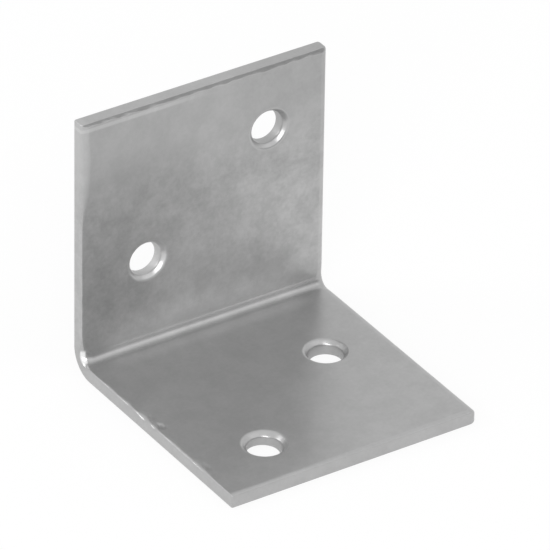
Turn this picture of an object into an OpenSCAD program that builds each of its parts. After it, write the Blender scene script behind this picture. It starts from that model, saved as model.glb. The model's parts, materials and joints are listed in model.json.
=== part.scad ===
// Corner brace bracket: one strip of zinc-plated steel sheet bent square, with two
// countersunk screw holes on a diagonal in each leg.
// The base leg lies on z = 0 and runs towards -Y, the upright stands at the back, and
// X runs along the bend. The origin is the middle of the base leg's underside.

/* [Sheet] */
// Outside length of each leg, from the back of the bend to its free end
leg_length = 40; // [36:0.5:60]
// Width of the strip, along the bend
strip_width = 39.5; // [34:0.5:60]
// Thickness of the sheet
sheet_t = 2.1; // [1.9:0.1:2.6]

/* [Bend] */
// Radius of the bend on the outside
bend_outer_r = 4; // [3.6:0.1:4.4]
// Radius of the bend on the inside, where the countersinks are
bend_inner_r = 1.3; // [1:0.1:2]

/* [Edges] */
// Round on the right-hand edge of the strip, on the inside of the bracket
right_edge_inner_r = 1; // [0.2:0.05:1.2]
// Round on the right-hand edge of the strip, on the outside of the bracket
right_edge_outer_r = 0.4; // [0.1:0.05:0.6]
// Round on the left-hand edge of the strip, on the inside of the bracket
left_edge_inner_r = 0.2; // [0.1:0.05:1.2]
// Round on the left-hand edge of the strip, on the outside of the bracket
left_edge_outer_r = 0.25; // [0.1:0.05:0.6]
// Round on the free end of each leg, on the inside of the bracket
end_inner_r = 0.5; // [0.1:0.05:1]
// Round on the free end of each leg, on the outside of the bracket
end_outer_r = 0.2; // [0.1:0.05:0.6]
// Round at the four corners of the strip, seen square to its face
corner_r = 0.6; // [0.2:0.05:1.5]

/* [Screw holes] */
// Diameter of the straight bore
bore_d = 4.6; // [3.5:0.1:5]
// Diameter of the countersink at the face
countersink_d = 6.2; // [5.4:0.1:7]
// Angle across the countersink
countersink_angle = 82; // [82:1:100]
// Distance of the left-hand holes from the middle of the strip
left_hole_x = 9.2; // [8:0.1:12]
// Distance of the right-hand holes from the middle of the strip
right_hole_x = 10.3; // [8:0.1:12]
// Height of the upright's left-hand hole above the underside of the base leg
upright_left_hole = 15; // [12:0.1:18]
// Height of the upright's right-hand hole above the underside of the base leg
upright_right_hole = 29.8; // [26:0.1:31]
// Distance of the base leg's left-hand hole from the back of the upright
base_left_hole = 31.3; // [27:0.1:31.5]
// Distance of the base leg's right-hand hole from the back of the upright
base_right_hole = 17; // [14:0.1:18]

/* [Hidden] */
$fn = 96;
// Zinc-plated steel
zinc_grey = [0.66, 0.67, 0.68];
// How far each cut runs past the surface that it opens
overrun = 0.1;
countersink_depth = (countersink_d - bore_d) / 2 / tan(countersink_angle / 2);
land = sheet_t - countersink_depth;

// The bracket is made in a frame of its own: the first axis runs forward from the back
// of the upright, the second up from the underside of the base leg, and the third
// leftward from the strip's right-hand edge. Both legs are alike there, so whatever is
// cut in the base leg is mirrored across the diagonal for the upright.

// Mirror image across the diagonal between the legs
module on_upright() {
    mirror([1, -1, 0])
        children();
}

// Mirror image from the right-hand edge of the strip to its left-hand edge
module on_left_edge() {
    translate([0, 0, strip_width])
        mirror([0, 0, 1])
            children();
}

// What a round of radius r takes off a square corner at the origin, where the metal
// fills the first quadrant
module corner_waste(r) {
    difference() {
        translate([-overrun, -overrun])
            square(r + overrun);
        translate([r, r])
            circle(r);
    }
}

// The rounded free end of a leg, in the side view of the base leg
module leg_end_waste() {
    translate([leg_length, 0])
        rotate(90)
            corner_waste(end_outer_r);
    translate([leg_length, sheet_t])
        rotate(180)
            corner_waste(end_inner_r);
}

// Side view of the bent strip
module brace_profile() {
    difference() {
        square(leg_length);
        corner_waste(bend_outer_r);
        translate([sheet_t, sheet_t])
            difference() {
                square(leg_length);
                corner_waste(bend_inner_r);
            }
        leg_end_waste();
        mirror([1, -1])
            leg_end_waste();
    }
}

// Sweeps a section along the base leg and the upright, from where the bend ends.
// The section's first axis is height above the underside of the base leg, and its
// second runs leftward from the strip's right-hand edge.
module along_legs(bend_end) {
    along_base(bend_end)
        children();
    on_upright()
        along_base(bend_end)
            children();
}

module along_base(bend_end) {
    translate([bend_end, 0, 0])
        rotate([90, 0, 90])
            linear_extrude(leg_length - bend_end + overrun)
                children();
}

// Sweeps a section round the bend, about its axis. The section's first axis is the
// distance from that axis.
module round_bend(axis_distance) {
    translate([axis_distance, axis_distance, 0])
        rotate(180)
            rotate_extrude(angle = 90)
                children();
}

// Waste of the round on the strip's right-hand edge, on the inside of the bracket
module inner_edge_waste(r) {
    along_legs(sheet_t + bend_inner_r)
        translate([sheet_t, 0])
            rotate(90)
                corner_waste(r);
    round_bend(sheet_t + bend_inner_r)
        translate([bend_inner_r, 0])
            corner_waste(r);
}

// Waste of the round on the strip's right-hand edge, on the outside of the bracket
module outer_edge_waste(r) {
    along_legs(bend_outer_r)
        corner_waste(r);
    round_bend(bend_outer_r)
        translate([bend_outer_r, 0])
            rotate(90)
                corner_waste(r);
}

// Waste of the round at the base leg's right-hand front corner, seen from above
module leg_corner_waste() {
    translate([leg_length, sheet_t + overrun, 0])
        rotate([90, 0, 0])
            linear_extrude(sheet_t + 2 * overrun)
                rotate(90)
                    corner_waste(corner_r);
}

module strip_corner_waste() {
    leg_corner_waste();
    on_upright()
        leg_corner_waste();
}

// One screw hole in the base leg: a straight bore, widened by a countersink on the
// inside of the bracket
module screw_hole() {
    depth = countersink_depth + overrun;
    mouth_d = bore_d + 2 * depth * tan(countersink_angle / 2);
    rotate([-90, 0, 0]) {
        translate([0, 0, -overrun])
            cylinder(d = bore_d, h = sheet_t + 2 * overrun);
        translate([0, 0, land])
            cylinder(d1 = bore_d, d2 = mouth_d, h = depth);
    }
}

// The two screw holes of one leg, at their distances from the other leg's outer face
module leg_holes(right_hole, left_hole) {
    translate([right_hole, 0, strip_width / 2 - right_hole_x])
        screw_hole();
    translate([left_hole, 0, strip_width / 2 + left_hole_x])
        screw_hole();
}

module bent_strip() {
    difference() {
        linear_extrude(strip_width)
            brace_profile();
        inner_edge_waste(right_edge_inner_r);
        outer_edge_waste(right_edge_outer_r);
        strip_corner_waste();
        on_left_edge() {
            inner_edge_waste(left_edge_inner_r);
            outer_edge_waste(left_edge_outer_r);
            strip_corner_waste();
        }
    }
}

module bracket() {
    color(zinc_grey)
        translate([strip_width / 2, leg_length / 2, 0])
            rotate([90, 0, -90])
                difference() {
                    bent_strip();
                    leg_holes(base_right_hole, base_left_hole);
                    on_upright()
                        leg_holes(upright_right_hole, upright_left_hole);
                }
}

bracket();
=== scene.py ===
"""Corner brace bracket: a bent strip of zinc-plated steel sheet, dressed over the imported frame."""
import json
import math

import bpy
import numpy as np
from mathutils import Matrix, Vector, noise
from mathutils.geometry import delaunay_2d_cdt

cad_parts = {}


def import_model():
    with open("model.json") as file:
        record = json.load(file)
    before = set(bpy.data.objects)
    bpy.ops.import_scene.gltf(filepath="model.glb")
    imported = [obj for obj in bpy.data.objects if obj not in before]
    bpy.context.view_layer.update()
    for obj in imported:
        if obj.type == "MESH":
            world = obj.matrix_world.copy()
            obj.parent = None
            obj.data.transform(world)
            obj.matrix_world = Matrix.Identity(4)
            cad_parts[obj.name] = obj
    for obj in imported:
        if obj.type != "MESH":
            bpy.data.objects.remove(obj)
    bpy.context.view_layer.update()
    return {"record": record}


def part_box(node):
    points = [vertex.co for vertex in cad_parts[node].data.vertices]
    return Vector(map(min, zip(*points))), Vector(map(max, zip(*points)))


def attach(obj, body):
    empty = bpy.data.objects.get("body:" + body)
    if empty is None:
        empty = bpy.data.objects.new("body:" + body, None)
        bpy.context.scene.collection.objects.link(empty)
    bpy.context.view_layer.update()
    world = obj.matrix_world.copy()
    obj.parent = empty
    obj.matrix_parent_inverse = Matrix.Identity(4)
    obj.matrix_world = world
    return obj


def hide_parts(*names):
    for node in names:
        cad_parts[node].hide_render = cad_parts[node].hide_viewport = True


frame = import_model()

# Lengths are in millimetres up to the finished mesh, which MM turns into metres
MM = 0.001
LOW, HIGH = (np.array(corner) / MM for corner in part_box("bracket"))
HALF_WIDTH = (HIGH[0] - LOW[0]) / 2
FRONT_Y, BACK_Y = LOW[1], HIGH[1]
LEG = HIGH[2] - LOW[2]

# The sheet and its bend, as the frame's solid has them
SHEET_T = 2.1
BEND_OUTER_R = 4.0
BEND_INNER_R = 1.3

# The flat pattern: p runs from the base leg's front edge, up the upright, to its top.
# BEND_P of it goes round the bend, from STRAIGHT to BEND_STOP.
STRAIGHT = LEG - BEND_OUTER_R
BEND_P = 4.0
BEND_STOP = STRAIGHT + BEND_P
PATTERN_LENGTH = 2 * STRAIGHT + BEND_P

# Points of an edge's round, of a corner of the strip, of the bend and round a hole
ROUND_POINTS = 8
CORNER_POINTS = 7
BEND_POINTS = 64
HOLE_POINTS = 72
# Steps down an edge's wall, round the lip and the shoulder of a countersink, down a bore's
# wall and round its edge
WALL_STEPS = 6
LIP_STEPS = 6
BORE_STEPS = 3
# Spacing of vertices along the edges, over the faces, round the bend, across the ledge
# above it and over the chips
SIDE_STEP = 0.4
GRID_STEP = 0.65
BEND_STEP = 0.12
LEDGE_STEP = 0.045
CHIP_STEP = 0.16

# Material numbers, in the order of FINISHES
FACE, EDGE, HOLE, BORE = range(4)


def ease(value, start, stop):
    """Smooth step from 0 at start to 1 at stop."""
    share = np.clip((value - start) / (stop - start), 0, 1)
    return share * share * (3 - 2 * share)


def hump(value, centre, half_width):
    """Smooth bump that is 1 at the centre and dies away within about two half widths."""
    return np.exp(-((value - centre) / half_width) ** 2)


# From the flat pattern to the bent strip

# How far the side paths run on past both ends of the strip
OVERRUN = 1.0


def side_path(depth, bend_r):
    """Pattern coordinate p, with y and z, along the sheet at a depth below its inside face."""
    face_z = SHEET_T - depth
    centre_y, centre_z = BACK_Y - face_z - bend_r, face_z + bend_r
    angle = np.linspace(0, math.pi / 2, BEND_POINTS)
    arc = np.stack([centre_y + bend_r * np.sin(angle), centre_z - bend_r * np.cos(angle)], 1)
    bend = np.vstack([(FRONT_Y + STRAIGHT, face_z), arc, (BACK_Y - face_z, LEG - STRAIGHT)])
    steps = np.linalg.norm(np.diff(bend, axis=0), axis=1)
    along = np.concatenate([[0], np.cumsum(steps)])
    p = STRAIGHT + along / along[-1] * BEND_P
    front, top = (FRONT_Y - OVERRUN, face_z), (BACK_Y - face_z, LEG + OVERRUN)
    p = np.concatenate([[-OVERRUN], p, [PATTERN_LENGTH + OVERRUN]])
    return p, np.vstack([front, bend, top])


INSIDE_PATH = side_path(0, BEND_INNER_R)
OUTSIDE_PATH = side_path(SHEET_T, BEND_OUTER_R)


def on_path(path, p):
    """y and z of the points at p along a side path."""
    along, places = path
    return [np.interp(p, along, places[:, k]) for k in (0, 1)]


def fold(p, x, depth):
    """Places flat-pattern points, at a depth below the inside face, on the bent strip."""
    share = depth / SHEET_T
    paths = zip(on_path(INSIDE_PATH, p), on_path(OUTSIDE_PATH, p))
    y, z = (inside + (outside - inside) * share for inside, outside in paths)
    return np.stack([x, y, z], 1)


# Edges of the strip, from the punched inside face to the sheared outside face

# Each side runs between two corners of the flat pattern, clockwise from the front left
TURN = ("left", "top", "right", "front")
LONG_SIDES = ("left", "right")
SIDE_LENGTH = {side: PATTERN_LENGTH if side in LONG_SIDES else 2 * HALF_WIDTH for side in TURN}
# Round of the corner at which each side starts, seen square to the face
CORNER_R = {"left": 0.3, "top": 0.25, "right": 0.6, "front": 1.0}
# Least radius left at a corner where two wide rounds meet
MITRE_R = 0.12
# Radius of each side's outside round
OUTER_R = {"left": 0.25, "top": 0.2, "right": 0.4, "front": 0.2}
# How far each side's inside round is flattened into a chamfer
CHAMFER = {"left": 0.0, "top": 0.85, "right": 0.0, "front": 0.0}
# A flat margin beside each round, which keeps the shading of the faces level
MARGIN = 0.1
# How far the closer vertices of the bend run on up and down the long sides
BEND_MARGIN = 0.6

# Inside round of each side: its width and its depth, before wear
LEFT_WIDTH, LEFT_DEPTH = 0.12, 0.14
RIGHT_WIDTH, RIGHT_DEPTH = 1.0, 1.0
FRONT_WIDTH, FRONT_DEPTH = 0.6, 0.2
# The top's bevel widens to the right, and its depth is a share of its width
TOP_WIDTH, TOP_WIDENING, TOP_SLOPE = 0.48, 0.14, 0.43
# Pitch and seed of each ragged side's irregularity, and its share or height
LEFT_RAGGED, LEFT_RAGGED_SHARE, WORN_RAGGED_SHARE = (1.4, 1.0), 0.25, 0.05
TOP_RAGGED, TOP_RAGGED_HEIGHT = (1.3, 2.0), 0.14
FRONT_RAGGED, FRONT_RAGGED_SHARE = (3.0, 3.0), 0.1
# The sheet spread at the right-hand end of the bend: half length, extra width, extra depth
FLARE = (1.6, 0.5, 0.2)
# Wear of the left-hand edge up the upright: where it rises to full and where it eases off
# again, by what share, and its extra width and depth
WORN_RISE, WORN_FALL, WORN_EASING = (58.5, 69), (71, 75.5), 0.25
WORN_WIDTH, WORN_DEPTH = 1.2, 0.3
# Single worn places of the left-hand edge: p, half length, extra width, extra depth
WORN_LEFT = (
    (38.8, 1.7, 1.4, 0.9),
    (26.0, 1.6, 0.45, 0.25),
    (21.9, 1.5, 1.1, 0.6),
    (19.2, 0.7, 0.8, 0.4),
    (14.0, 2.6, 0.4, 0.2),
    (7.7, 2.2, 0.7, 0.3),
    (10.8, 1.0, 0.25, 0.1),
    (30.5, 1.6, 0.3, 0.15),
)
# Where the noise is sliced, and what brings it to about -1 to 1
NOISE_SLICE = 0.5
NOISE_GAIN = 1.6


def wander(run, pitch, seed):
    """Smooth irregularity between about -1 and 1 along a run, with a pitch in millimetres."""
    values = [noise.noise(Vector((place / pitch, seed, NOISE_SLICE))) for place in run]
    return np.array(values) * NOISE_GAIN


def left_round(run, share):
    """Nearly sharp, but for its worn places and the wear up the upright."""
    worn = ease(run, *WORN_RISE) * (1 - WORN_EASING * ease(run, *WORN_FALL))
    width = LEFT_WIDTH + WORN_WIDTH * worn
    depth = LEFT_DEPTH + WORN_DEPTH * worn
    for centre, half_length, wider, deeper in WORN_LEFT:
        width = width + wider * hump(run, centre, half_length)
        depth = depth + deeper * hump(run, centre, half_length)
    ragged = LEFT_RAGGED_SHARE - (LEFT_RAGGED_SHARE - WORN_RAGGED_SHARE) * worn
    return width * (1 + ragged * wander(run, *LEFT_RAGGED)), depth


def top_round(run, share):
    """Ragged bevel."""
    ragged = TOP_RAGGED_HEIGHT * wander(run, *TOP_RAGGED)
    width = TOP_WIDTH + TOP_WIDENING * share + ragged
    return width, TOP_SLOPE * width


def right_round(run, share):
    """Wide and even round, flared at the bend."""
    half_length, wider, deeper = FLARE
    flare = hump(PATTERN_LENGTH - run, STRAIGHT + BEND_P / 2, half_length)
    return RIGHT_WIDTH + wider * flare, RIGHT_DEPTH + deeper * flare


def front_round(run, share):
    """Shallow, slightly irregular round."""
    uneven = 1 + FRONT_RAGGED_SHARE * wander(run, *FRONT_RAGGED)
    return FRONT_WIDTH * uneven, FRONT_DEPTH * uneven


INSIDE_ROUND = {"left": left_round, "top": top_round, "right": right_round, "front": front_round}


def edge_section(side, share):
    """Inset and depth of every ring of an edge, at shares of its run: two arrays, rings first."""
    width, depth = INSIDE_ROUND[side](share * SIDE_LENGTH[side], share)
    outer = np.full_like(width, OUTER_R[side])
    inset, below = [width + MARGIN], [np.zeros_like(width)]
    flat = CHAMFER[side]
    for part in np.linspace(0, 1, ROUND_POINTS):
        sin, cos = math.sin(part * math.pi / 2), math.cos(part * math.pi / 2)
        inset.append(width * (1 - flat * part - (1 - flat) * sin))
        below.append(depth * (1 - flat * (1 - part) - (1 - flat) * cos))
    for part in np.linspace(0, 1, WALL_STEPS + 1)[1:]:
        inset.append(np.zeros_like(width))
        below.append(depth + part * (SHEET_T - depth - outer))
    for angle in np.linspace(0, math.pi / 2, ROUND_POINTS)[1:]:
        inset.append(outer * (1 - math.cos(angle)))
        below.append(SHEET_T - outer * (1 - math.sin(angle)))
    inset.append(outer + MARGIN)
    below.append(np.full_like(width, SHEET_T))
    return np.array(inset), np.array(below)


def side_shares(side):
    """Where the vertices lie between the corners of a side, closer together round the bend."""
    length = SIDE_LENGTH[side]
    if side not in LONG_SIDES:
        return np.linspace(0, 1, round(length / SIDE_STEP) + 1)[1:-1]
    start, stop = STRAIGHT - BEND_MARGIN, BEND_STOP + BEND_MARGIN
    leg = np.linspace(0, start, round(start / SIDE_STEP) + 1)[1:-1]
    bend = np.linspace(start, stop, round((stop - start) / BEND_STEP) + 1)
    return np.concatenate([leg, bend, length - leg[::-1]]) / length


def ring_corner(side, arriving, leaving):
    """Points of a ring round the corner where a side starts.

    Arriving is the inset and depth at the end of the side before, and leaving those at the
    start of this one.
    """
    (inset_in, depth_in), (inset_out, depth_out) = arriving, leaving
    inset_p, inset_x = (inset_in, inset_out) if side in LONG_SIDES else (inset_out, inset_in)
    way_p = 1 if side in ("left", "front") else -1
    way_x = 1 if side in ("left", "top") else -1
    p = inset_p if way_p > 0 else PATTERN_LENGTH - inset_p
    x = way_x * (inset_x - HALF_WIDTH)
    radius = max(CORNER_R[side] - min(inset_in, inset_out), MITRE_R)
    points = []
    for turn in np.linspace(0, 1, CORNER_POINTS):
        cos, sin = math.cos(turn * math.pi / 2), math.sin(turn * math.pi / 2)
        out_p, out_x = (cos, sin) if side in LONG_SIDES else (sin, cos)
        point_p = p + way_p * radius * (1 - out_p)
        point_x = x + way_x * radius * (1 - out_x)
        points.append((point_p, point_x, depth_in + (depth_out - depth_in) * turn))
    return points


def ring_side(side, start, stop, shares, inset, depth):
    """Points of a ring along a side, between its corner points start and stop."""
    if side in LONG_SIDES:
        across = (inset - HALF_WIDTH) * (1 if side == "left" else -1)
        return zip(start[0] + (stop[0] - start[0]) * shares, across, depth)
    across = inset if side == "front" else PATTERN_LENGTH - inset
    return zip(across, start[1] + (stop[1] - start[1]) * shares, depth)


def outline_rings():
    """The rings of the strip's edge, each a list of p, x and depth, clockwise from front left."""
    ends = {side: edge_section(side, np.array([0.0, 1.0])) for side in TURN}
    shares = {side: side_shares(side) for side in TURN}
    runs = {side: edge_section(side, shares[side]) for side in TURN}
    rings = []
    for level in range(len(ends["left"][0])):
        corners = []
        for k, side in enumerate(TURN):
            arriving = [measure[level][1] for measure in ends[TURN[k - 1]]]
            leaving = [measure[level][0] for measure in ends[side]]
            corners.append(ring_corner(side, arriving, leaving))
        ring = []
        for k, side in enumerate(TURN):
            start, stop = corners[k][-1], corners[(k + 1) % len(TURN)][0]
            inset, depth = (measure[level] for measure in runs[side])
            ring.extend(corners[k])
            ring.extend(ring_side(side, start, stop, shares[side], inset, depth))
        rings.append(np.array(ring))
    return rings


# Screw holes

# Radius at which a countersink's cone would meet the face, if its lip weren't soft
MOUTH_R = 3.03
CONE_DEPTH = 0.6
# How far the soft lip and the shoulder of a countersink reach from its edges
LIP = 0.25
SHOULDER = 0.2
# The punch left the wall below the cone a little wider than the bore
THROAT_EXTRA = 0.14
BORE_WEAR = 0.04
BORE_EDGE_R = 0.1
# Rings of the lip, the cone and the shoulder, which were pressed; those below were sheared
PRESSED_RINGS = 2 * LIP_STEPS + 1
# How far up the flat pattern each countersink was pressed off the centre of its bore
OFF_CENTRE = {
    "upright_left_screw_hole": 0.2,
    "upright_right_screw_hole": 0.12,
    "base_left_screw_hole": -0.4,
    "base_right_screw_hole": 0.05,
}
# How much wider one countersink was pressed
WIDER = {"base_left_screw_hole": 0.12}


def screw_holes():
    """Centre, bore and mouth radius, and countersink's offset, of each hole in the record."""
    for mount in frame["record"]["mounts"]:
        if mount["kind"] != "bore":
            continue
        name = mount["name"]
        x, y, z = (value / MM for value in mount["pos_m"])
        on_base = mount["axis"][2] > 0.5
        p = y - FRONT_Y if on_base else PATTERN_LENGTH - (LEG - z)
        bore_r = mount["dims"]["r_mm"] + BORE_WEAR
        yield p, x, bore_r, MOUTH_R + WIDER.get(name, 0), OFF_CENTRE[name]


def curve(start, bend, stop, steps):
    """Points of a smooth corner from start to stop, drawn towards the bend point."""
    share = np.linspace(0, 1, steps + 1)[:, None]
    return (1 - share) ** 2 * start + 2 * share * (1 - share) * bend + share ** 2 * stop


def hole_section(bore_r, mouth_r):
    """Radius and depth of each ring of a screw hole, from the inside face to the outside face."""
    mouth, throat = np.array((mouth_r, 0)), np.array((bore_r + THROAT_EXTRA, CONE_DEPTH))
    foot = np.array((bore_r, SHEET_T - BORE_EDGE_R))
    down = (throat - mouth) / np.linalg.norm(throat - mouth)
    lip = curve(mouth + (LIP, 0), mouth, mouth + down * LIP, LIP_STEPS)
    taper = (foot - throat) / np.linalg.norm(foot - throat)
    shoulder = curve(throat - down * SHOULDER, throat, throat + taper * SHOULDER, LIP_STEPS)
    shares = np.linspace(0, 1, BORE_STEPS + 1)[1:]
    wall = [shoulder[-1] + (foot - shoulder[-1]) * share for share in shares]
    edge = [
        (bore_r + BORE_EDGE_R * (1 - math.cos(turn)), SHEET_T - BORE_EDGE_R * (1 - math.sin(turn)))
        for turn in np.linspace(0, math.pi / 2, BORE_STEPS + 1)[1:]
    ]
    return np.vstack([lip, shoulder, wall, edge])


def circle(p, x, radius, way=1):
    """Points round a circle of the flat pattern, towards greater x first, or away from it."""
    angle = way * np.linspace(0, 2 * math.pi, HOLE_POINTS, endpoint=False)
    return np.stack([p + radius * np.cos(angle), x + radius * np.sin(angle)], 1)


# Relief of the inside face

# Ledge that the press left above the bend: where it rises, its brink, the run and height
# of its fall, and the share of the width over which it grows from half to full
LEDGE_RISE = (37.6, 38.6)
LEDGE_P = 39.25
LEDGE_RUN = 0.3
LEDGE_HEIGHT = 0.06
LEDGE_GROWTH = (-0.7, 0.5)
# Chips beside the base leg's left-hand edge: p, x, half length, half width, depth
CHIPS = (
    (19.3, -18.75, 0.7, 0.4, 0.3),
    (21.4, -18.5, 0.4, 0.3, 0.12),
    (7.6, -18.8, 0.9, 0.3, 0.12),
)
# Slow waves of the sheet: pitch, seed, height on the base leg and on the upright, and the
# run above the bend over which they grow
WAVE_PITCH = 5.0
WAVE_SEED = 7.3
WAVE_HEIGHT = (0.006, 0.022)
WAVE_RUN = 4


def relief(p, x):
    """How far the inside face stands proud of its nominal shape."""
    ledge = ease(p, *LEDGE_RISE) * (1 - ease(p, LEDGE_P - LEDGE_RUN, LEDGE_P))
    proud = LEDGE_HEIGHT * ledge * (0.5 + 0.5 * ease(x / HALF_WIDTH, *LEDGE_GROWTH))
    for chip_p, chip_x, half_length, half_width, depth in CHIPS:
        proud = proud - depth * hump(p, chip_p, half_length) * hump(x, chip_x, half_width)
    place = np.stack([p, x], 1) / WAVE_PITCH
    wave = np.array([noise.noise(Vector((a, b, WAVE_SEED))) for a, b in place])
    low, high = WAVE_HEIGHT
    return proud + (low + (high - low) * ease(p, BEND_STOP, BEND_STOP + WAVE_RUN)) * wave


# The mesh

# Distance of the rings of free vertices round each hole from its edge
HOLE_MARGINS = (0.18, 0.45)
# Least distance of the other free vertices from the outline, in steps
GRID_CLEAR = 0.6
CHIP_CLEAR = 1.5
# How far the closer rows run on past the bend, and past the brink of the ledge on each side
ROW_MARGIN = 0.3
LEDGE_MARGINS = (0.45, 0.15)
# Points closer together than this are one to the triangulation
SAME_POINT = 1e-6


class Sheet:
    """Collects pattern vertices and faces, one material number to each face."""

    def __init__(self):
        self.points = []
        self.faces = []
        self.materials = []
        self.count = 0

    def add(self, points):
        """Adds vertices and returns their numbers."""
        points = np.asarray(points, float)
        first = self.count
        self.points.append(points)
        self.count += len(points)
        return np.arange(first, self.count)

    def strip(self, ring_a, ring_b, material):
        """Joins two closed rings of equal length with quads."""
        for a, b, c, d in zip(ring_a, np.roll(ring_a, -1), np.roll(ring_b, -1), ring_b):
            self.faces.append((int(a), int(b), int(c), int(d)))
            self.materials.append(material)


def clear_of_edges(points, level, margin):
    """Whether each point lies farther than the margin inside the edges' ring of that level."""
    p, x = points.T
    along, across = p / PATTERN_LENGTH, (x + HALF_WIDTH) / (2 * HALF_WIDTH)
    gaps = (
        x + HALF_WIDTH - edge_section("left", along)[0][level],
        HALF_WIDTH - x - edge_section("right", 1 - along)[0][level],
        PATTERN_LENGTH - p - edge_section("top", across)[0][level],
        p - edge_section("front", 1 - across)[0][level],
    )
    return np.min(gaps, axis=0) > margin


def grid_points():
    """A staggered grid over the flat pattern, with closer rows across the bend and its ledge."""
    bend_start, bend_stop = STRAIGHT - ROW_MARGIN, BEND_STOP + ROW_MARGIN
    ledge_start, ledge_stop = LEDGE_P - LEDGE_MARGINS[0], LEDGE_P + LEDGE_MARGINS[1]
    bands = (
        (0, bend_start, GRID_STEP),
        (bend_start, ledge_start, BEND_STEP),
        (ledge_start, ledge_stop, LEDGE_STEP),
        (ledge_stop, bend_stop, BEND_STEP),
        (bend_stop, PATTERN_LENGTH, GRID_STEP),
    )
    rows = np.concatenate([
        np.linspace(start, stop, round((stop - start) / step) + 1)[:-1]
        for start, stop, step in bands
    ])
    points = []
    for index, p in enumerate(rows):
        stagger = GRID_STEP / 2 if index % 2 else 0
        points.extend((p, x) for x in np.arange(-HALF_WIDTH + stagger, HALF_WIDTH, GRID_STEP))
    return np.array(points)


def free_points(level, holes):
    """Free vertices of a face: rings round its holes, the grid clear of them, and the chips."""
    rings = [circle(p, x, hole_r + margin) for margin in HOLE_MARGINS for p, x, hole_r in holes]
    grid = grid_points()
    keep = clear_of_edges(grid, level, GRID_STEP * GRID_CLEAR)
    for p, x, hole_r in holes:
        distance = np.hypot(grid[:, 0] - p, grid[:, 1] - x)
        keep &= distance > hole_r + HOLE_MARGINS[-1] + GRID_STEP / 2
    patches = []
    for p, x, half_length, half_width, _ in CHIPS:
        along = np.arange(p - 2 * half_length, p + 2 * half_length, CHIP_STEP)
        across = np.arange(x - 2 * half_width, x + 3 * half_width, CHIP_STEP)
        patch = np.stack(np.meshgrid(along, across), -1).reshape(-1, 2)
        patches.append(patch[clear_of_edges(patch, level, CHIP_STEP * CHIP_CLEAR)])
    return np.vstack([*rings, grid[keep], *patches])


def runs_clockwise(outline):
    p, x = outline.T
    return bool(np.sum(p * np.roll(x, -1) - np.roll(p, -1) * x) < 0)


def in_face(spots, bounds, clockwise):
    """Whether a triangle lies in the face, and not outside its outline or in one of its holes.

    The triangle's vertices come anticlockwise. The bounds part them into the outline's, each
    hole's and the free ones.
    """
    parts = set(np.searchsorted(bounds, spots, side="right"))
    if len(parts) > 1 or max(parts) == len(bounds):
        return True
    if max(parts) > 1:
        return False
    a, b, c = spots
    count = bounds[1]
    in_outline_order = (b - a) % count + (c - b) % count + (a - c) % count == count
    return in_outline_order != clockwise


def fill_face(sheet, level, outline_ids, hole_ids, holes, depth, flip):
    """Triangulates one face of the sheet between its outline and its hole rings."""
    loops = [outline_ids, *hole_ids]
    border_ids = np.concatenate(loops)
    border = np.vstack(sheet.points)[border_ids][:, :2]
    free = free_points(level, holes)
    free_ids = sheet.add(np.column_stack([free, np.full(len(free), depth)]))
    ids = np.concatenate([border_ids, free_ids])
    bounds = np.cumsum([0] + [len(loop) for loop in loops])
    edges = []
    for start, loop in zip(bounds, loops):
        size = len(loop)
        edges.extend((int(start) + k, int(start) + (k + 1) % size) for k in range(size))
    points = [Vector(point) for point in np.vstack([border, free])]
    made = delaunay_2d_cdt(points, edges, [], 0, SAME_POINT, True)
    triangles, origin = made[2], made[3]
    clockwise = runs_clockwise(border[:len(outline_ids)])
    for triangle in triangles:
        spots = [origin[k][0] for k in triangle]
        if in_face(spots, bounds, clockwise):
            corners = [int(ids[spot]) for spot in spots]
            sheet.faces.append(tuple(reversed(corners)) if flip else tuple(corners))
            sheet.materials.append(FACE)


def add_hole(sheet, p, x, bore_r, mouth_r, offset):
    """Adds a hole's wall and returns its first and last rings of vertices."""
    rings = []
    for radius, depth in hole_section(bore_r, mouth_r):
        centre = p + offset * (1 - ease(depth, CONE_DEPTH, SHEET_T))
        spots = circle(centre, x, radius, -1)
        rings.append(sheet.add(np.column_stack([spots, np.full(HOLE_POINTS, depth)])))
    for index, (upper, lower) in enumerate(zip(rings, rings[1:])):
        sheet.strip(upper, lower, HOLE if index < PRESSED_RINGS else BORE)
    return rings[0], rings[-1]


def build_sheet():
    """The whole skin of the strip, on the flat pattern."""
    sheet = Sheet()
    rings = [sheet.add(ring) for ring in outline_rings()]
    for upper, lower in zip(rings, rings[1:]):
        sheet.strip(upper, lower, EDGE)
    holes = list(screw_holes())
    inside_ids, outside_ids = zip(*(add_hole(sheet, *hole) for hole in holes))
    mouths = [(p + offset, x, mouth_r + LIP) for p, x, _, mouth_r, offset in holes]
    ends = [(p, x, bore_r + BORE_EDGE_R) for p, x, bore_r, *_ in holes]
    fill_face(sheet, 0, rings[0], inside_ids, mouths, 0.0, True)
    fill_face(sheet, -1, rings[-1], outside_ids, ends, SHEET_T, False)
    return sheet


def bracket_mesh():
    sheet = build_sheet()
    p, x, depth = np.vstack(sheet.points).T
    proud = relief(p, x) * (1 - np.clip(depth / SHEET_T, 0, 1))
    mesh = bpy.data.meshes.new("bent_strip")
    mesh.from_pydata((fold(p, x, depth - proud) * MM).tolist(), [], sheet.faces)
    mesh.polygons.foreach_set("material_index", sheet.materials)
    mesh.polygons.foreach_set("use_smooth", [True] * len(sheet.faces))
    mesh.validate()
    mesh.update()
    return mesh


# Materials

METALLIC = 0.76
# Each finish: colour, roughness, spread of its tone, the share of the patches' dullness
# that it shows, and the strength of its grain
FINISHES = {
    "zinc_face": (0.402, 0.282, 0.085, 1.0, 0.3),
    "zinc_edge": (0.425, 0.282, 0.07, 0.15, 0.5),
    "zinc_hole": (0.44, 0.3, 0.05, 0.3, 0.2),
    "zinc_bore": (0.44, 0.5, 0.05, 0.3, 0.2),
}

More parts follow.
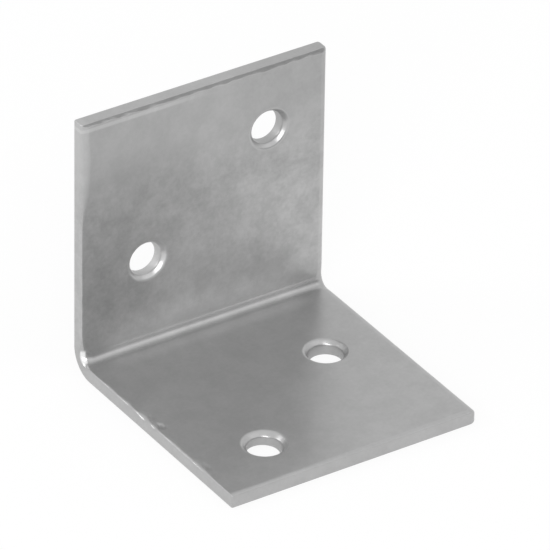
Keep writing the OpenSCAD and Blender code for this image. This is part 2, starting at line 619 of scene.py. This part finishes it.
# Noises of the plating: pitch in millimetres, detail and roughness
BLOTCHES = (3.2, 4.0, 0.62)
SPECKS = (0.55, 2.0, 0.6)
CLOUDS = (9.0, 2.0, 0.5)
GRAIN = (0.7, 1.0, 0.5)
# Values between which nearly all of a noise lies
NOISE_RANGE = (0.3, 0.7)
# How far blotches and specks change the tone either way, and how much clouds roughen
BLOTCH_TONE = 0.5
SPECK_TONE = 0.25
CLOUD_DULLNESS = 0.12
# Share of the noises that shows everywhere, and how much more of it where it is uneven
LEAST_UNEVEN, MORE_UNEVEN = 0.4, 0.5
GRAIN_HEIGHT = 0.02

# Patches of the finish, some of them painted light and painted shade. Each is the product of its
# fades: the axis along which it fades, where the fade starts and stops in millimetres, and its two
# values if not 0 and 1.
PATCHES = {
    # Upright up to three quarters of its height, where the plating is the most uneven
    "uneven": (("Z", 3, 6), ("Z", 34, 22)),
    # Middle of the upright's lower half, where handling dulled it; its lighter colour there is
    # painted light
    "handled": (("Z", 3, 6), ("X", -15, -4), ("X", 16, 3, 0.35, 1.0), ("Z", 27, 13)),
    # Strip just above the bend that the press rubbed dull
    "rubbed": (("Z", 2.95, 3.2), ("Z", 4.3, 3.5), ("X", -18, -10, 0.25, 1.0)),
    # Foot of the upright and the base leg beside the bend, lightened with painted light, and
    # the middle of the width, to which both are kept
    "foot": (("Z", 2.3, 2.8), ("Z", 9.5, 4)),
    "beside": (("Y", 13.5, 15.5, 0.0, 0.5), ("Y", 16.6, 16.0)),
    "middle": (("X", -18, -13), ("X", 18, 12)),
    # Painted highlight: a bright spot at the left-hand end of the bend
    "spot": (
        ("X", -18.95, -19.2),
        ("X", -19.74, -19.6),
        ("Y", 17.1, 17.6),
        ("Y", 18.8, 18.3),
        ("Z", 4.2, 3.5),
    ),
    # Upright's top right-hand corner, darkened with painted shade
    "corner": (("Z", 28, 36), ("X", 2, 14)),
    # Upright's left-hand edge near the top, and the left half of its top edge, worn bright
    "left_edge": (("X", -18.2, -19.0, 0.0, 0.4), ("Z", 24, 35)),
    "top_edge": (("Z", 38.5, 38.8), ("Z", 39.4, 39.1), ("X", 2, -8)),
}
# How much lighter and how much duller the patches are: the worn edges' lightening is their own,
# the other lightening is painted light and the corner's darkening is painted shade
LIGHTER = {"handled": 0.11, "worn": 0.1, "polished": 0.13, "spot": 0.42, "corner": -0.035}
DULLER = {"handled": 0.12, "rubbed": 0.35}


def ramp(tree, source, start, stop, low=0.0, high=1.0):
    """Smooth step of a socket, from low where it is at start to high where it is at stop."""
    made = tree.nodes.new("ShaderNodeMapRange")
    made.interpolation_type = "SMOOTHSTEP"
    limits = (("From Min", start), ("From Max", stop), ("To Min", low), ("To Max", high))
    for name, value in limits:
        made.inputs[name].default_value = value
    tree.links.new(source, made.inputs["Value"])
    return made.outputs["Result"]


def feed(tree, socket, value):
    """Gives an input a number or another socket's output."""
    if isinstance(value, float):
        socket.default_value = value
    else:
        tree.links.new(value, socket)


def math_node(tree, operation, first, second):
    made = tree.nodes.new("ShaderNodeMath")
    made.operation = operation
    feed(tree, made.inputs[0], first)
    feed(tree, made.inputs[1], second)
    return made.outputs[0]


def product(tree, *factors):
    total = factors[0]
    for factor in factors[1:]:
        total = math_node(tree, "MULTIPLY", total, factor)
    return total


def added(tree, *terms):
    total = terms[0]
    for term in terms[1:]:
        total = math_node(tree, "ADD", total, term)
    return total


def mottle(tree, place, pitch, detail, rough):
    """Noise around 0.5 with blotches of the given pitch in millimetres."""
    made = tree.nodes.new("ShaderNodeTexNoise")
    made.inputs["Scale"].default_value = 1 / (pitch * MM)
    made.inputs["Detail"].default_value = detail
    made.inputs["Roughness"].default_value = rough
    tree.links.new(place, made.inputs["Vector"])
    return made.outputs["Fac"]


def finish_masks(tree, place):
    """Strength of each patch of the finish and of the painted light and shade, from 0 to 1, by its
    name.
    """
    split = tree.nodes.new("ShaderNodeSeparateXYZ")
    tree.links.new(place, split.inputs[0])
    masks = {}
    for name, fades in PATCHES.items():
        masks[name] = product(tree, *(
            ramp(tree, split.outputs[axis], start * MM, stop * MM, *values)
            for axis, start, stop, *values in fades
        ))
    either = math_node(tree, "MAXIMUM", masks["foot"], masks["beside"])
    # Painted light at the foot of the upright and beside the bend, kept to the middle of the width
    masks["polished"] = product(tree, either, masks["middle"])
    masks["worn"] = math_node(tree, "MAXIMUM", masks["left_edge"], masks["top_edge"])
    return masks


def weighted(tree, masks, weights):
    """Each named mask times its weight."""
    return [product(tree, masks[name], weight) for name, weight in weights.items()]


def zinc(name, colour, roughness, spread, dulling, grain):
    """Zinc plating: a mottled grey of uneven gloss with a fine grain under it, and painted light and
    shade in some patches.
    """
    material = bpy.data.materials.new(name)
    material.use_nodes = True
    tree = material.node_tree
    shader = tree.nodes["Principled BSDF"]
    shader.inputs["Metallic"].default_value = METALLIC
    place = tree.nodes.new("ShaderNodeTexCoord").outputs["Object"]
    masks = finish_masks(tree, place)
    blotches = ramp(tree, mottle(tree, place, *BLOTCHES), *NOISE_RANGE, -BLOTCH_TONE, BLOTCH_TONE)
    specks = ramp(tree, mottle(tree, place, *SPECKS), *NOISE_RANGE, -SPECK_TONE, SPECK_TONE)
    clouds = ramp(tree, mottle(tree, place, *CLOUDS), *NOISE_RANGE, 0.0, CLOUD_DULLNESS)
    unevenness = added(tree, LEAST_UNEVEN, product(tree, masks["uneven"], MORE_UNEVEN))
    tone = product(tree, added(tree, blotches, specks), unevenness, spread)
    # Worn edges' lightening, with the painted light and painted shade of the other patches
    lighter = added(tree, *weighted(tree, masks, LIGHTER))
    shade = added(tree, colour, tone, lighter)
    tint = tree.nodes.new("ShaderNodeCombineColor")
    for channel in ("Red", "Green", "Blue"):
        tree.links.new(shade, tint.inputs[channel])
    tree.links.new(tint.outputs[0], shader.inputs["Base Color"])
    duller = added(tree, product(tree, clouds, unevenness), *weighted(tree, masks, DULLER))
    gloss = added(tree, roughness, product(tree, duller, dulling))
    tree.links.new(gloss, shader.inputs["Roughness"])
    bump = tree.nodes.new("ShaderNodeBump")
    bump.inputs["Strength"].default_value = grain
    bump.inputs["Distance"].default_value = GRAIN_HEIGHT * MM
    tree.links.new(mottle(tree, place, *GRAIN), bump.inputs["Height"])
    tree.links.new(bump.outputs[0], shader.inputs["Normal"])
    return material


# Stage, light and camera

FLOOR_HALF = 1.5
FLOOR_ALBEDO = 0.95
# Share of the floor's own shading that the camera and the metal see; the rest is white
FLOOR_SHADE = 0.12
# The light tent as the camera and the metal see it, its opening, and the level at which it
# lights matt surfaces
TENT = 0.95
OPENING = 0.33
AMBIENT = 0.82
# Parts y and z of a direction between which the opening gives way to the tent
OPENING_Y = (-0.75, -0.45)
OPENING_Z = (0.3, 0.5)
# Oval soft boxes: azimuth, elevation, turn about the line to the bracket, width, height and
# radiance, with the angles in degrees and the lengths in metres
SOFT_BOXES = {
    "fill": (38, 45, 0, 1.2, 0.7, 0.3),
    "key": (-41, 26, 50, 1.35, 0.55, 3.8),
    "side": (-122, 30, 0, 0.6, 0.5, 2.7),
}
SOFT_BOX_DISTANCE = 1.3
# The camera's angles in degrees, and its distance, target and lens in millimetres
CAMERA_AZIMUTH = -33.41
CAMERA_ELEVATION = 32.49
CAMERA_ROLL = 0.887
CAMERA_DISTANCE = 1124.9
CAMERA_TARGET = (-0.326, -0.16, 19.699)
CAMERA_LENS = 546.47
CAMERA_SENSOR = 36
# How far the camera sees, in metres
CAMERA_REACH = 20


def add_object(name, data):
    thing = bpy.data.objects.new(name, data)
    bpy.context.scene.collection.objects.link(thing)
    return thing


def seen_directly(tree):
    """Output that is 1 for camera, glossy and transmission rays, and 0 for the others."""
    path = tree.nodes.new("ShaderNodeLightPath")
    total = path.outputs["Is Camera Ray"]
    for name in ("Is Glossy Ray", "Is Transmission Ray"):
        total = math_node(tree, "MAXIMUM", total, path.outputs[name])
    return total


def floor_material():
    """Pale and matt, but mostly plain white where it is seen."""
    material = bpy.data.materials.new("studio_floor")
    material.use_nodes = True
    tree = material.node_tree
    shader = tree.nodes["Principled BSDF"]
    shader.inputs["Base Color"].default_value = (FLOOR_ALBEDO, FLOOR_ALBEDO, FLOOR_ALBEDO, 1)
    shader.inputs["Roughness"].default_value = 1.0
    shader.inputs["Specular IOR Level"].default_value = 0.0
    white = tree.nodes.new("ShaderNodeEmission")
    share = product(tree, seen_directly(tree), 1 - FLOOR_SHADE)
    mix = tree.nodes.new("ShaderNodeMixShader")
    tree.links.new(share, mix.inputs["Fac"])
    tree.links.new(shader.outputs[0], mix.inputs[1])
    tree.links.new(white.outputs[0], mix.inputs[2])
    tree.links.new(mix.outputs[0], tree.nodes["Material Output"].inputs["Surface"])
    return material


def floor():
    """Pale floor that is white where it is seen, but for the object's shadow."""
    mesh = bpy.data.meshes.new("floor")
    corners = [(x * FLOOR_HALF, y * FLOOR_HALF, 0) for x, y in ((-1, -1), (1, -1), (1, 1), (-1, 1))]
    mesh.from_pydata(corners, [], [(0, 1, 2, 3)])
    mesh.materials.append(floor_material())
    thing = add_object("floor", mesh)


def blend(tree, factor, low, high):
    """Mix of two values or sockets by a factor socket."""
    made = tree.nodes.new("ShaderNodeMix")
    tree.links.new(factor, made.inputs["Factor"])
    feed(tree, made.inputs["A"], low)
    feed(tree, made.inputs["B"], high)
    return made.outputs["Result"]


def world():
    """Light tent: white all round, but for its dim opening low down in front."""
    studio = bpy.data.worlds.new("studio")
    studio.use_nodes = True
    bpy.context.scene.world = studio
    tree = studio.node_tree
    background = tree.nodes["Background"]
    background.inputs["Color"].default_value = (1, 1, 1, 1)
    coordinates = tree.nodes.new("ShaderNodeTexCoord")
    split = tree.nodes.new("ShaderNodeSeparateXYZ")
    tree.links.new(coordinates.outputs["Generated"], split.inputs[0])
    behind = ramp(tree, split.outputs["Y"], *OPENING_Y)
    above = ramp(tree, split.outputs["Z"], *OPENING_Z)
    tent = blend(tree, behind, blend(tree, above, OPENING, TENT), TENT)
    strength = blend(tree, seen_directly(tree), AMBIENT, tent)
    tree.links.new(strength, background.inputs["Strength"])


def toward(azimuth, elevation):
    """Direction from the bracket, at an azimuth to the right of the front and an elevation."""
    azimuth, elevation = math.radians(azimuth), math.radians(elevation)
    return Vector((
        math.sin(azimuth) * math.cos(elevation),
        -math.cos(azimuth) * math.cos(elevation),
        math.sin(elevation),
    ))


def facing(back, roll):
    """Turn of a lamp or camera that looks back along a direction, rolled by some degrees."""
    look = (-back).to_track_quat("-Z", "Y").to_matrix()
    return (look @ Matrix.Rotation(math.radians(roll), 3, "Z")).to_4x4()


def soft_boxes():
    for name, (azimuth, elevation, roll, width, height, radiance) in SOFT_BOXES.items():
        lamp = bpy.data.lights.new(name, "AREA")
        lamp.shape = "ELLIPSE"
        lamp.size, lamp.size_y = width, height
        lamp.energy = radiance * math.pi * (math.pi / 4 * width * height)
        back = toward(azimuth, elevation)
        place = Matrix.Translation(back * SOFT_BOX_DISTANCE)
        add_object(name, lamp).matrix_world = place @ facing(back, roll)


def camera():
    lens = bpy.data.cameras.new("camera")
    lens.lens = CAMERA_LENS
    lens.sensor_width = CAMERA_SENSOR
    lens.clip_end = CAMERA_REACH
    back = toward(CAMERA_AZIMUTH, CAMERA_ELEVATION)
    place = Matrix.Translation((Vector(CAMERA_TARGET) + back * CAMERA_DISTANCE) * MM)
    thing = add_object("camera", lens)
    thing.matrix_world = place @ facing(back, CAMERA_ROLL)
    bpy.context.scene.camera = thing


def main():
    mesh = bracket_mesh()
    for name, finish in FINISHES.items():
        mesh.materials.append(zinc(name, *finish))
    bracket = add_object("bent_strip", mesh)
    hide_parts("bracket")
    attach(bracket, "root")
    floor()
    world()
    soft_boxes()
    camera()
    bpy.context.scene.view_settings.view_transform = "Standard"


main()
